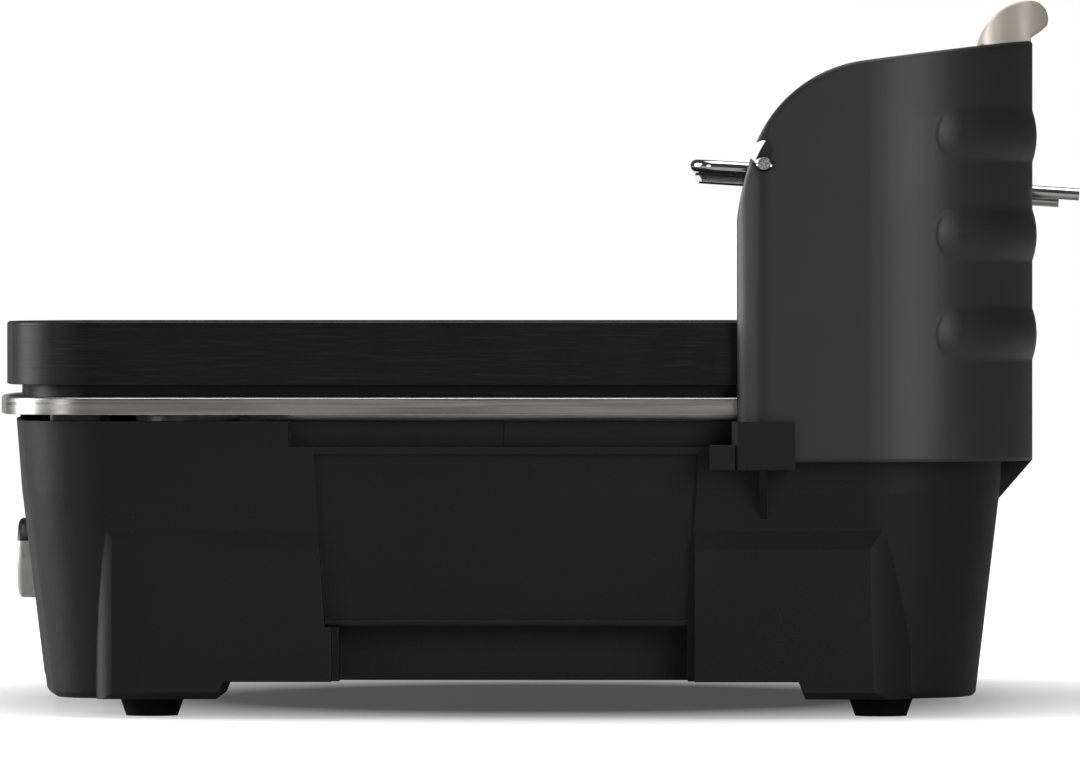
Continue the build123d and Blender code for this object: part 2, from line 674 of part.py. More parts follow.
backing = [(y_panel - WALL_T, panel_top + WALL_T), (y_panel_end + WALL_T, panel_top + WALL_T),
           (y_panel_end + WALL_T, GRIP_TOP_Z - WALL_T), (y_panel - WALL_T, GRIP_TOP_Z - WALL_T)]
base_housing += two(panel_section(PANEL_DEPTH + WALL_T, GRIP_TOP_Z - WALL_T, panel_top + WALL_T, -JOIN)
                    & prism_x(backing, 0, half_width))
base_housing -= two(panel_section(PANEL_DEPTH, GRIP_TOP_Z, panel_top, FLOOR_INSET + OVER)
                    & prism_x(panel_view, 0, half_width + OVER))
grip_x = side_at(FLOOR_Z) - GRIP_DEPTH
base_housing += two(block(grip_x - WALL_T, side_at(GRIP_TOP_Z) - PANEL_DEPTH, y_grip - WALL_T,
                          y_grip_end + WALL_T, FLOOR_Z, GRIP_TOP_Z + WALL_T))
base_housing -= two(block(grip_x, half_width + OVER, y_grip, y_grip_end, FLOOR_Z - OVER, GRIP_TOP_Z))
lip_z = GRIP_TOP_Z + GRIP_LIP_R
lip_x = side_at(lip_z) - PANEL_DEPTH
lip_start = (lip_x, y_panel + PANEL_DRAFT - JOIN, lip_z)
base_housing += two(rod(GRIP_LIP_R, lip_start, (lip_x, y_grip_end + JOIN, lip_z)))
y_finger_rib = y_front + FINGER_RIB_AT
base_housing += two(block(finger_x - JOIN, finger_x + FINGER_RIB_PROUD, y_finger_rib,
                          y_finger_rib + FINGER_RIB_T, finger_z - JOIN, RIM_Z))

# Windscreen clips, their ribs and the rear gussets
y_clip = y_screen_front - CLIP_LEAD
clip = block(side_at(CLIP_LOW_Z) - JOIN, clip_outer, y_clip, y_clip + CLIP_LENGTH, CLIP_LOW_Z, RIM_Z)
clip = chamfer(clip.edges().filter_by(Axis.Z).sort_by(Axis.X)[-2:].sort_by(Axis.Y)[0], CLIP_BEVEL)
clip += block(side_at(CLIP_LOW_Z) - JOIN, clip_outer, y_clip - CLIP_STEP, y_clip + JOIN,
              CLIP_LOW_Z, CLIP_STEP_Z)
y_rib = y_clip + CLIP_LENGTH / 2
clip += prism_y([(side_at(CLIP_RIB_LOW_Z) - JOIN, CLIP_RIB_LOW_Z), (clip_outer - JOIN, CLIP_LOW_Z),
                 (side_at(CLIP_LOW_Z) - JOIN, CLIP_LOW_Z)], y_rib - CLIP_RIB_T / 2, y_rib + CLIP_RIB_T / 2)
clip -= prism_z(screen_profile(CLIP_GAP), SCREEN_LOW_Z, RIM_Z + OVER)
base_housing += two(clip)
gusset = [(rear_at(GUSSET_LOW_Z) - JOIN, GUSSET_LOW_Z), (y_screen_rear + GUSSET_TIP, SCREEN_LOW_Z),
          (rear_at(SCREEN_LOW_Z) - JOIN, SCREEN_LOW_Z)]
base_housing += two(prism_x(gusset, GUSSET_X - GUSSET_T / 2, GUSSET_X + GUSSET_T / 2))

# Ribs inside the walls that carry the tray rim
carry_z = flange_z - TRAY_T
rib_out = half_width - WALL_T / 2
rib_in = rib_out - TRAY_RIB_DEPTH


def inside(shape):
    """Keep the part of an inner feature that lies behind the outer skin of the walls."""
    skin = WALL_T / 2
    top = carry_z + JOIN
    return shape & tapered((FLOOR_Z, FLOOR_INSET + skin), (WAIST_Z, WAIST_INSET + skin),
                           (RIM_Z, skin), (top, skin))


for y in (y_finger - WALL_T - TRAY_RIB_AHEAD, y_clip + CLIP_LENGTH + OVER):
    base_housing += two(inside(block(rib_in, rib_out, y, y + TRAY_RIB_T, floor_top - JOIN, carry_z)))
rib_x = TRAY_RIB_X
front_y = front_at(RIM_Z, rib_x) + WALL_T + TRAY_RIB_DEPTH
rear_y = y_rear - WALL_T - TRAY_RIB_DEPTH
base_housing += two(inside(block(rib_x, rib_x + TRAY_RIB_T, y_front, front_y, floor_top - JOIN, carry_z)))
base_housing += two(inside(block(rib_x, rib_x + TRAY_RIB_T, rear_y, y_rear, floor_top - JOIN, carry_z)))

# Pockets in the front wall for the knob and the lamp
knob_face = front_at(KNOB_Z) - KNOB_PROUD
pocket_floor = front_at(KNOB_Z) + POCKET_DEPTH
pocket_r = KNOB_R + POCKET_GAP
lamp_floor = front_at(KNOB_Z, LAMP_X) + LAMP_POCKET
lamp_pocket_r = LAMP_R + POCKET_GAP / 2
for x, radius, seat in ((0, pocket_r, pocket_floor), (LAMP_X, lamp_pocket_r, lamp_floor)):
    ahead = y_front - OVER
    base_housing += inside(rod(radius + WALL_T, (x, ahead, KNOB_Z), (x, seat + WALL_T, KNOB_Z)))
    base_housing -= rod(radius, (x, ahead, KNOB_Z), (x, seat, KNOB_Z))
bush_hole = BUSH_R + SCREW_CLEARANCE
base_housing -= rod(bush_hole, (0, pocket_floor - JOIN, KNOB_Z), (0, pocket_floor + WALL_T + JOIN, KNOB_Z))
base_housing -= rod(LAMP_STEM_R + SCREW_CLEARANCE, (LAMP_X, lamp_floor - JOIN, KNOB_Z),
                    (LAMP_X, lamp_floor + WALL_T + JOIN, KNOB_Z))

# Shelf for the plate's socket
y_plate_front = y_front - TRAY_FRONT + PLATE_INSET
y_plug = y_plate_front + PLUG_FRONT
plug_low = deck_low_z - PLUG_DROP
socket_top = plug_low - SOCKET_GAP
socket_low = socket_top - SOCKET_T
shelf = block(-PLUG_HALF - OVER, PLUG_HALF + OVER, y_front, y_plug + PLUG_DEPTH + JOIN,
              socket_low - SHELF_T, socket_low)
base_housing += inside(shelf)

# Frame behind the rear wall for the mains inlet
frame_low_z = INLET_Z - INLET_H / 2 - INLET_FLANGE
frame_high_z = INLET_Z + INLET_H / 2 + INLET_FLANGE
inlet_seat = rear_at(frame_low_z) - 2 * WALL_T
inlet_half = INLET_W / 2 + INLET_FLANGE
base_housing += prism_x([(inlet_seat, frame_low_z), (rear_at(frame_low_z) - JOIN, frame_low_z),
                         (rear_at(frame_high_z) - JOIN, frame_high_z), (inlet_seat, frame_high_z)],
                        INLET_X - inlet_half, INLET_X + inlet_half)
base_housing -= block(INLET_X - INLET_W / 2 - COVER_GAP, INLET_X + INLET_W / 2 + COVER_GAP, inlet_seat - OVER,
                      y_rear + OVER, INLET_Z - INLET_H / 2 - COVER_GAP, INLET_Z + INLET_H / 2 + COVER_GAP)

# Floor opening for the service cover, and screw bosses
y_cover = y_front + BASE_DEPTH * COVER_SHARE
boss_x = COVER_W / 2 - COVER_STEP / 2
boss_y = COVER_D / 2 - COVER_STEP / 2
boss_at = [(x, y_cover + y) for x in (-boss_x, boss_x) for y in (-boss_y, boss_y)]
for x, y in boss_at:
    base_housing += rod(COVER_BOSS_R, (x, y, floor_top - JOIN), (x, y, floor_top + COVER_BOSS))
base_housing -= block(-COVER_W / 2 - COVER_GAP, COVER_W / 2 + COVER_GAP, y_cover - COVER_D / 2 - COVER_GAP,
                      y_cover + COVER_D / 2 + COVER_GAP, FLOOR_Z - OVER, FLOOR_Z + COVER_T)
hatch_half = COVER_W / 2 - 2 * COVER_STEP
hatch_reach = COVER_D / 2 - 2 * COVER_STEP
base_housing -= block(-hatch_half, hatch_half, y_cover - hatch_reach, y_cover + hatch_reach,
                      FLOOR_Z, floor_top + JOIN)
for x, y in boss_at:
    base_housing -= rod(SCREW_R + SCREW_CLEARANCE, (x, y, FLOOR_Z), (x, y, floor_top + COVER_BOSS + JOIN))
service_cover = block(-COVER_W / 2, COVER_W / 2, y_cover - COVER_D / 2, y_cover + COVER_D / 2,
                      FLOOR_Z, FLOOR_Z + COVER_T)
cover_screws = []
for x, y in boss_at:
    service_cover -= rod(SCREW_R + SCREW_CLEARANCE, (x, y, FLOOR_Z - JOIN), (x, y, FLOOR_Z + COVER_T + JOIN))
    cover_screws.append(rod(SCREW_HEAD_R, (x, y, FLOOR_Z - SCREW_HEAD), (x, y, FLOOR_Z))
                        + rod(SCREW_R, (x, y, FLOOR_Z), (x, y, floor_top + COVER_BOSS / 2)))
for slot in range(SLOTS):
    x = (slot - (SLOTS - 1) / 2) * SLOT_PITCH
    vent = Pos(x, y_cover, FLOOR_Z - JOIN) * Rot(0, 0, RIGHT_ANGLE) * SlotOverall(SLOT_LENGTH, SLOT_W)
    service_cover -= extrude(vent, amount=COVER_T + 2 * JOIN)

# Rubber feet with stems pressed into the leg pads
foot_x = half_width - FOOT_SIDE
y_foot = y_front + FOOT_FRONT
y_foot_rear = y_rear - FOOT_REAR
foot_spots = {"foot_front_right": (foot_x, y_foot), "foot_front_left": (-foot_x, y_foot),
              "foot_rear_right": (foot_x, y_foot_rear), "foot_rear_left": (-foot_x, y_foot_rear)}
foot_half = make_face(Polyline((0, 0), (FOOT_SOLE_R, 0), (FOOT_R, LEG_Z), (FOOT_STEM_R, LEG_Z),
                               (FOOT_STEM_R, LEG_Z + FOOT_STEM), (0, LEG_Z + FOOT_STEM), close=True))
foot = revolve(Plane.XZ * foot_half, axis=Axis.Z)
feet = {}
for name, (x, y) in foot_spots.items():
    stem_end = (x, y, LEG_Z + FOOT_STEM + COVER_GAP)
    base_housing -= rod(FOOT_STEM_R + FOOT_CLEARANCE, (x, y, LEG_Z - JOIN), stem_end)
    feet[name] = Pos(x, y, 0) * foot

# Drip tray: folded rim, flange and tapered well
drip_tray = prism_z(tray_plan(0), hem_z, flange_z)
drip_tray = fillet(drip_tray.faces().sort_by(Axis.Z)[-1].edges(), TRAY_EDGE_R)
drip_tray -= prism_z(tray_plan(TRAY_T), hem_z - JOIN, carry_z)
well_in = PLATE_INSET + WELL_INSET
well_ahead = PLATE_INSET + WELL_FRONT
shell_plan = Pos(0, 0, flange_z) * tray_plan(well_in - TRAY_T, well_ahead - TRAY_T)
well_shell = extrude(shell_plan, amount=-WELL_DEPTH, taper=WELL_DRAFT)
hollow_plan = Pos(0, 0, flange_z) * tray_plan(well_in, well_ahead)
well_hollow = extrude(hollow_plan, amount=TRAY_T - WELL_DEPTH, taper=WELL_DRAFT)
drip_tray += well_shell
drip_tray -= well_hollow
drip_tray -= block(-PLUG_HALF - WINDOW_GAP, PLUG_HALF + WINDOW_GAP, y_plug - WINDOW_GAP,
                   y_plug + PLUG_DEPTH + WINDOW_GAP, carry_z - JOIN, flange_z + JOIN)

# Grill plate: cast deck with a skirt, an inset neck and a ribbed cooking field
grill_plate = prism_z(tray_plan(PLATE_INSET), plate_low_z, plate_top_z)
grill_plate = fillet(grill_plate.faces().sort_by(Axis.Z)[-1].edges(), PLATE_EDGE_R)
neck_in = PLATE_INSET + NECK_INSET
grill_plate += prism_z(tray_plan(neck_in), flange_z, plate_low_z)
grill_plate -= prism_z(tray_plan(neck_in + PLATE_SKIRT), flange_z - JOIN, deck_low_z)
field_in = PLATE_INSET + FIELD_INSET
ribs_in = field_in + GUTTER
field = prism_z(tray_plan(field_in), field_z, plate_top_z + JOIN)
rib_low = RIB_TOP / 2 + FIELD_DEPTH * tan(radians(RIB_DRAFT))
rib_section = [(-rib_low, field_z - JOIN / 2), (rib_low, field_z - JOIN / 2), (RIB_TOP / 2, plate_top_z),
               (-RIB_TOP / 2, plate_top_z)]
one_rib = prism_y(rib_section, y_front - TRAY_FRONT, y_rear + OVER)
rib_field = prism_z(tray_plan(ribs_in), field_z - JOIN, plate_top_z + JOIN)
rib_half = int((half_width - ribs_in - rib_low) / RIB_PITCH)
ribs = [Pos(step * RIB_PITCH, 0, 0) * one_rib for step in range(-rib_half, rib_half + 1)]
rib_bank = Part() + ribs
grill_plate -= field
grill_plate += rib_bank & rib_field
y_plate_rear = y_rear + TRAY_REAR - PLATE_INSET
y_drain = y_plate_rear - FIELD_INSET - GUTTER / 2
grill_plate -= rod(DRAIN_R, (0, y_drain, deck_low_z - JOIN), (0, y_drain, plate_top_z + JOIN))

# Heating element under the deck
e_x = half_width - ELEMENT_SIDE
e_front = y_plate_front + ELEMENT_FRONT
e_rear = y_plate_rear - ELEMENT_REAR
e_inner = e_front + ELEMENT_INNER_Y
y_terminal = y_plug + PLUG_DEPTH / 2
left_run = [(-TERMINAL_X, y_terminal), (-TERMINAL_X, e_front), (-e_x, e_front), (-e_x, e_rear),
            (-ELEMENT_INNER_X, e_rear), (-ELEMENT_INNER_X, e_inner)]
route = left_run + [(-x, y) for x, y in reversed(left_run)]
bends = [TERMINAL_BEND] + [ELEMENT_BEND] * (len(route) - 4) + [TERMINAL_BEND]
heating_element = tube(ELEMENT_R, bends, *[(x, y, element_z) for x, y in route])
clamp_y = (e_inner + e_rear) / 2
element_clamps = []
clamp_screws = []
hook = ELEMENT_R + ELEMENT_GAP
for x in (-e_x, -ELEMENT_INNER_X, ELEMENT_INNER_X, e_x):
    to = -1 if x > 0 else 1
    flange_end = x + to * (hook + CLAMP_FLANGE)
    back_x = x + to * (hook + CLAMP_T)
    hook_z = element_z - hook
    section = [(x - to * ELEMENT_R, hook_z), (x + to * hook, hook_z), (x + to * hook, deck_low_z),
               (flange_end, deck_low_z), (flange_end, deck_low_z - CLAMP_T),
               (back_x, deck_low_z - CLAMP_T), (back_x, hook_z - CLAMP_T),
               (x - to * ELEMENT_R, hook_z - CLAMP_T)]
    clamp_low = clamp_y - CLAMP_WIDTH / 2
    screw_x = x + to * (hook + CLAMP_SCREW)
    hole = rod(SCREW_R + SCREW_CLEARANCE, (screw_x, clamp_y, element_z), (screw_x, clamp_y, field_z - JOIN))
    element_clamps.append(prism_y(section, clamp_low, clamp_low + CLAMP_WIDTH) - hole)
    grill_plate -= hole
    under = deck_low_z - CLAMP_T
    clamp_screws.append(rod(SCREW_HEAD_R, (screw_x, clamp_y, under - SCREW_HEAD), (screw_x, clamp_y, under))
                        + rod(SCREW_R, (screw_x, clamp_y, under), (screw_x, clamp_y, field_z - 2 * JOIN)))

# Plug block under the plate and its socket in the base
element_plug = block(-PLUG_HALF, PLUG_HALF, y_plug, y_plug + PLUG_DEPTH, plug_low, deck_low_z)
element_plug = fillet(element_plug.edges().filter_by(Axis.Z), WINDOW_GAP)
element_socket = block(-PLUG_HALF, PLUG_HALF, y_plug, y_plug + PLUG_DEPTH, socket_low, socket_top)
element_socket = fillet(element_socket.edges().filter_by(Axis.Z), WINDOW_GAP)
plug_pins = []
y_pin = y_plug + PLUG_DEPTH / 2
for x in (-PIN_PITCH, 0, PIN_PITCH):
    pin_low = socket_top - PIN_LENGTH + SOCKET_GAP
    pin_high = plug_low + PIN_LENGTH / 2
    element_plug -= rod(PIN_R + SHAFT_CLEARANCE, (x, y_pin, plug_low - JOIN), (x, y_pin, pin_high))
    element_socket -= rod(PIN_R + PIN_CLEARANCE, (x, y_pin, pin_low - JOIN), (x, y_pin, socket_top + JOIN))
    plug_pins.append(rod(PIN_R, (x, y_pin, pin_low), (x, y_pin, pin_high)))
for x in (-TERMINAL_X, TERMINAL_X):
    element_plug -= rod(hook, (x, y_terminal - JOIN, element_z), (x, y_plug + PLUG_DEPTH + JOIN, element_z))

# Knob, pointer, shaft, regulator and nut
knob_back = pocket_floor - KNOB_GAP
knob = rod(KNOB_R, (0, knob_back, KNOB_Z), (0, knob_face, KNOB_Z))
knob = fillet(knob.edges().sort_by(Axis.Y)[0], KNOB_EDGE_R)
hub_y = knob_face + KNOB_WALL
nut_face = pocket_floor - NUT_T
shaft_end = knob_face + 2 * KNOB_WALL
bore_r = SHAFT_R + SHAFT_CLEARANCE
knob -= rod(KNOB_R - KNOB_WALL, (0, hub_y, KNOB_Z), (0, knob_back + JOIN, KNOB_Z))
knob += rod(2 * SHAFT_R, (0, hub_y - JOIN, KNOB_Z), (0, nut_face - 2 * KNOB_GAP, KNOB_Z))
knob -= rod(bore_r, (0, shaft_end, KNOB_Z), (0, knob_back, KNOB_Z))
pointer_low = KNOB_Z + POINTER_START
pointer_high = KNOB_Z + KNOB_R - KNOB_EDGE_R - POINTER_GAP
slot_cut = block(-POINTER_W / 2, POINTER_W / 2, knob_face - JOIN, knob_face + POINTER_DEPTH,
                 pointer_low, pointer_high)
knob -= slot_cut
pointer_half = POINTER_W / 2 - POINTER_GAP
knob_pointer = block(-pointer_half, pointer_half, knob_face, knob_face + POINTER_DEPTH,
                     pointer_low + POINTER_GAP, pointer_high - POINTER_GAP)
wall_back = pocket_floor + WALL_T
bush_end = nut_face - KNOB_GAP
shaft_root = wall_back + REGULATOR_D / 2
regulator_shaft = rod(SHAFT_R, (0, shaft_root, KNOB_Z), (0, shaft_end + SHAFT_CLEARANCE, KNOB_Z))
energy_regulator = block(-REGULATOR_W / 2, REGULATOR_W / 2, wall_back, wall_back + REGULATOR_D,
                         KNOB_Z - REGULATOR_H / 2, KNOB_Z + REGULATOR_H / 2)
energy_regulator = fillet(energy_regulator.edges().filter_by(Axis.Y), KNOB_WALL)
energy_regulator += rod(BUSH_R, (0, wall_back + JOIN, KNOB_Z), (0, bush_end, KNOB_Z))
energy_regulator -= rod(bore_r, (0, shaft_root + SHAFT_CLEARANCE, KNOB_Z), (0, bush_end - JOIN, KNOB_Z))
nut_plane = Plane((0, pocket_floor, KNOB_Z), z_dir=(0, -1, 0))
regulator_nut = extrude(nut_plane * RegularPolygon(NUT_ACROSS / 2, 6, major_radius=False), amount=NUT_T)
regulator_nut -= rod(bush_hole, (0, pocket_floor + JOIN, KNOB_Z), (0, nut_face - JOIN, KNOB_Z))

# Pilot lamp
lamp_back = lamp_floor + WALL_T
lamp_face = front_at(KNOB_Z, LAMP_X) - LAMP_PROUD
pilot_lens = rod(LAMP_R, (LAMP_X, lamp_floor, KNOB_Z), (LAMP_X, lamp_face, KNOB_Z))
pilot_lens = fillet(pilot_lens.edges().sort_by(Axis.Y)[0], JOIN)
lens_end = lamp_back + LAMP_HOLDER / 4
pilot_lens += rod(LAMP_STEM_R, (LAMP_X, lens_end, KNOB_Z), (LAMP_X, lamp_floor - JOIN / 2, KNOB_Z))
pilot_holder = rod(LAMP_HOLDER_R, (LAMP_X, lamp_back + LAMP_HOLDER, KNOB_Z), (LAMP_X, lamp_back, KNOB_Z))
pilot_holder -= rod(LAMP_STEM_R + SCREW_CLEARANCE, (LAMP_X, lens_end + COVER_GAP, KNOB_Z),
                    (LAMP_X, lamp_back - JOIN, KNOB_Z))

# Mains inlet, its contact blades and screws
inlet_face = rear_at(INLET_Z + INLET_H / 2) + INLET_PROUD
inlet_back = inlet_seat - INLET_BODY
recess_floor = inlet_face - INLET_RECESS
mains_inlet = block(INLET_X - INLET_W / 2, INLET_X + INLET_W / 2, inlet_back, inlet_face,
                    INLET_Z - INLET_H / 2, INLET_Z + INLET_H / 2)
mains_inlet += block(INLET_X - inlet_half, INLET_X + inlet_half, inlet_seat - INLET_FLANGE_T, inlet_seat,
                     INLET_Z - INLET_H / 2, INLET_Z + INLET_H / 2)
recess = block(INLET_X - INLET_RECESS_W / 2, INLET_X + INLET_RECESS_W / 2, recess_floor, inlet_face + JOIN,
               INLET_Z - INLET_RECESS_H / 2, INLET_Z + INLET_RECESS_H / 2)
mains_inlet -= fillet(recess.edges().filter_by(Axis.Y), KNOB_EDGE_R)
blade_spots = [(INLET_X - BLADE_PITCH, INLET_Z - BLADE_RAISE), (INLET_X + BLADE_PITCH, INLET_Z - BLADE_RAISE),
               (INLET_X, INLET_Z + BLADE_RAISE)]
inlet_blades = []
for x, z in blade_spots:
    mains_inlet -= block(x - BLADE_W / 2 - POINTER_GAP, x + BLADE_W / 2 + POINTER_GAP, inlet_back - JOIN,
                         recess_floor + JOIN, z - BLADE_H / 2 - POINTER_GAP, z + BLADE_H / 2 + POINTER_GAP)
    inlet_blades.append(block(x - BLADE_W / 2, x + BLADE_W / 2, inlet_back - 2 * WALL_T, inlet_face - WALL_T,
                              z - BLADE_H / 2, z + BLADE_H / 2))
inlet_screws = []
for side in (-1, 1):
    x = INLET_X + side * (INLET_W / 2 + INLET_FLANGE / 2)
    front_of = inlet_seat - INLET_FLANGE_T
    end = (x, inlet_seat + WALL_T, INLET_Z)
    hole_end = (x, inlet_seat + WALL_T + COVER_GAP, INLET_Z)
    hole = rod(SCREW_R + SCREW_CLEARANCE, (x, front_of - JOIN, INLET_Z), hole_end)
    mains_inlet -= hole
    base_housing -= hole
    inlet_screws.append(rod(SCREW_HEAD_R - JOIN, (x, front_of - SCREW_HEAD, INLET_Z), (x, front_of, INLET_Z))
                        + rod(SCREW_R, (x, front_of, INLET_Z), end))

# Internal wiring along the floor: inlet to regulator and socket
wire_z = floor_top + 2 * WIRE_R
step_z = WIRE_STEP
blade_tail = inlet_back - 2 * WALL_T
turn = blade_tail - 2 * WIRE_BEND - OVER
live_x, live_z = blade_spots[0]
neutral_x, neutral_z = blade_spots[1]
earth_x, earth_z = blade_spots[2]
regulator_back = wall_back + REGULATOR_D
live_y = regulator_back + WIRE_LIVE_RUN
neutral_y = regulator_back + WIRE_NEUTRAL_RUN
riser_x = PLUG_HALF + 2 * WIRE_BEND
riser_y = y_plug + PLUG_DEPTH / 2
enter_z = (socket_low + socket_top) / 2
switch_z = KNOB_Z + REGULATOR_H / 4
live_wire = tube(WIRE_R, WIRE_BEND, (live_x, blade_tail, live_z), (live_x, turn, live_z),
                 (live_x, turn, wire_z), (live_x, live_y, wire_z), (-TERMINAL_X, live_y, wire_z),
                 (-TERMINAL_X, live_y, KNOB_Z), (-TERMINAL_X, regulator_back, KNOB_Z))
neutral_low = wire_z + step_z
neutral_wire = tube(WIRE_R, WIRE_BEND, (neutral_x, blade_tail, neutral_z), (neutral_x, turn, neutral_z),
                    (neutral_x, turn, neutral_low), (neutral_x, neutral_y, neutral_low),
                    (riser_x, neutral_y, neutral_low), (riser_x, riser_y, neutral_low),
                    (riser_x, riser_y, enter_z), (PLUG_HALF, riser_y, enter_z))
earth_low = wire_z + 2 * step_z
earth_y = riser_y
earth_wire = tube(WIRE_R, WIRE_BEND, (earth_x, blade_tail, earth_z), (earth_x, turn, earth_z),
                  (earth_x, turn, earth_low), (earth_x, earth_y, earth_low), (-riser_x, earth_y, earth_low),
                  (-riser_x, riser_y, enter_z), (-PLUG_HALF, riser_y, enter_z))
switch_y = riser_y + 2 * WIRE_BEND
switch_x = riser_x + WIRE_BEND
switch_high = enter_z - WIRE_BEND
switch_wire = tube(WIRE_R, WIRE_BEND, (REGULATOR_W / 2, switch_y, switch_z), (switch_x, switch_y, switch_z),
                   (switch_x, switch_y, switch_high), (PLUG_HALF, switch_y, switch_high))
internal_wiring = [live_wire, neutral_wire, earth_wire, switch_wire]

nodes = {
    "base_housing": base_housing, "service_cover": service_cover, "cover_screws": cover_screws,
    "drip_tray": drip_tray, "grill_plate": grill_plate, "heating_element": heating_element,
    "element_clamps": element_clamps, "clamp_screws": clamp_screws, "element_plug": element_plug,
    "plug_pins": plug_pins, "element_socket": element_socket, "energy_regulator": energy_regulator,
    "regulator_nut": regulator_nut, "regulator_shaft": regulator_shaft, "control_knob": knob,
    "knob_pointer": knob_pointer, "pilot_lens": pilot_lens, "pilot_holder": pilot_holder,
    "mains_inlet": mains_inlet, "inlet_blades": inlet_blades, "inlet_screws": inlet_screws,
    "internal_wiring": internal_wiring, "windscreen": windscreen, "windscreen_grip": windscreen_grip,
    "grip_screws": grip_screws, "warming_rack": warming_rack, **feet,
}
for name, shape in nodes.items():
    pieces = shape if isinstance(shape, list) else [shape]
    solids = [solid for piece in pieces for solid in piece.solids()]
    export_step(Compound(children=solids), f"parts/{name}.step")
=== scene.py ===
import json
import math

import bmesh
import bpy
from mathutils import Matrix, Vector


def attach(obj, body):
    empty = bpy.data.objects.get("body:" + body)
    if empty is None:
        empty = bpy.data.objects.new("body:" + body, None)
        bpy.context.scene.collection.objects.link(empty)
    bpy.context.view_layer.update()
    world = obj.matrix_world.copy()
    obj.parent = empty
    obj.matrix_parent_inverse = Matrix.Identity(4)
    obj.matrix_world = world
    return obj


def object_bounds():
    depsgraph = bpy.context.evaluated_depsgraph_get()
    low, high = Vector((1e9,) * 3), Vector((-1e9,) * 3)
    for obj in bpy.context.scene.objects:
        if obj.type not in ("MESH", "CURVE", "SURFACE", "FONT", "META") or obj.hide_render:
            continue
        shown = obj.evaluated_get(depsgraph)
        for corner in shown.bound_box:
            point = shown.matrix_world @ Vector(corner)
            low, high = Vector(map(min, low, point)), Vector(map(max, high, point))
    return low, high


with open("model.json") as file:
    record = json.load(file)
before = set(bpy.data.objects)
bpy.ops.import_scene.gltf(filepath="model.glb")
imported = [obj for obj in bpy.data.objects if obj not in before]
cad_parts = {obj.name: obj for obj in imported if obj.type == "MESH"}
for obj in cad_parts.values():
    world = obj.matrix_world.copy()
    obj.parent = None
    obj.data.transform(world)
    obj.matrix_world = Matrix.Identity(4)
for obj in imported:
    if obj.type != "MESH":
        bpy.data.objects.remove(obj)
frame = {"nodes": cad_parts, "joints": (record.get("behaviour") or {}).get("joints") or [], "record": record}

nodes = frame["nodes"]
cad_low, cad_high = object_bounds()

# Marks on the front wall, and the painted recess shade on the screws; CROSS_SPAN is a share of the head, and
# CROSS_ARM of that span
DIAL_STEPS = 6
TICK_R = 0.0205
TICK_WIDTH = 0.0007
TICK_LENGTH = 0.003
NUMERAL_R = 0.0255
NUMERAL_SIZE = 0.0052
MARK_PROUD = 0.00008
RAY_RUN = 0.1
CROSS_SPAN = 0.62
CROSS_ARM = 0.2
CROSS_TURN = 45
CROSS_T = 0.0001
WELD_GAP = 0.00001

# Shading: places on the knob and the rack, and the ranges over which a value blends
# Height above the knob's axis from which the knob's top is painted black, a painted dark reflection
REFLECTION_TOP_RISE = 0.0066
SAWN_DEPTH = 0.0006
SHARP_EDGE = 0.0001
BEVEL_SAMPLES = 6
EDGE_TURN = (0.80, 0.97)
SPECK_BLEND = 0.02
ROUGHNESS_BLEND = (0.3, 0.7)
ROUGHNESS_LEAST = 0.02
WEAR_BLEND = (0.45, 0.75)
WEAR_SHADE = 0.8
WEAR_BUMP = 0.00002

# Floor and room: the floor's glow grows over GLOW_BLEND, counted in ovals of the half sizes GLOW_OVAL, and
# the mirrored white fades to ROOM_DIM over WHITE_END, the X of the direction
FLOOR_SIZE = 60.0
FLOOR_GLOW = 0.075
GLOW_OVAL = (0.245, 0.20)
GLOW_BLEND = (0.6, 1.6)
ROOM_DIM = 0.06
WHITE_END = (-0.998, -0.96)

# Lamps and camera
LAMP_AIM = Vector((0, 0, 0.12))
CAMERA_PLACE = Vector((4.44, 0.080, 0.1483))
CAMERA_AIM = Vector((0.24, 0.0044, 0.1226))
CAMERA_LENS = 388.9
CAMERA_SENSOR = 36.0
CAMERA_REACH = 100

knob_turn = next(joint for joint in frame["joints"] if joint["name"] == "knob_turn")
knob_axis = Vector(knob_turn["pos_m"])
dial_step = knob_turn["range_deg"][1] / DIAL_STEPS
reflection_top_z = knob_axis.z + REFLECTION_TOP_RISE
bar_end = max(vert.co.x for vert in nodes["warming_rack"].data.vertices) - SAWN_DEPTH


# Materials

def grey(level):
    return (level, level, level)


class Nodes:
    """A node tree, with short ways to add to it."""

    def __init__(self, tree):
        self.tree = tree

    def node(self, kind, **values):
        node = self.tree.nodes.new("ShaderNode" + kind)
        for socket, value in values.items():
            node.inputs[socket.replace("_", " ")].default_value = value
        return node

    def link(self, out, into):
        self.tree.links.new(out, into)

    def calculate(self, operation, first, second):
        """A result kept within 0 and 1; each input is a socket to link or a number to set."""
        node = self.node("Math")
        node.operation = operation
        node.use_clamp = True
        for socket, value in zip(node.inputs, (first, second)):
            if isinstance(value, bpy.types.NodeSocket):
                self.link(value, socket)
            else:
                socket.default_value = value
        return node.outputs["Value"]

    def both(self, first, second):
        return self.calculate("MULTIPLY", first, second)

    def vector(self, operation, *vectors):
        """The outputs of a Vector Math node on the given vectors."""
        node = self.node("VectorMath")
        node.operation = operation
        for out, into in zip(vectors, node.inputs):
            self.link(out, into)
        return node.outputs

    def axis(self, vector, name):
        """One coordinate of a vector."""
        split = self.node("SeparateXYZ")
        self.link(vector, split.inputs["Vector"])
        return split.outputs[name]

    def ramp(self, value, low, high, start, end, blend="LINEAR"):
        """Low before start, high past end and a blend in between."""
        node = self.node("MapRange", From_Min=start, From_Max=end, To_Min=low, To_Max=high)
        node.interpolation_type = blend
        self.link(value, node.inputs["Value"])
        return node.outputs["Result"]

    def shown_rays(self):
        """Two sockets: 1 for rays from the camera, and 1 for rays that a surface mirrors or lets through."""
        path = self.node("LightPath").outputs
        mirrored = self.calculate("ADD", path["Is Glossy Ray"], path["Is Transmission Ray"])
        return path["Is Camera Ray"], mirrored


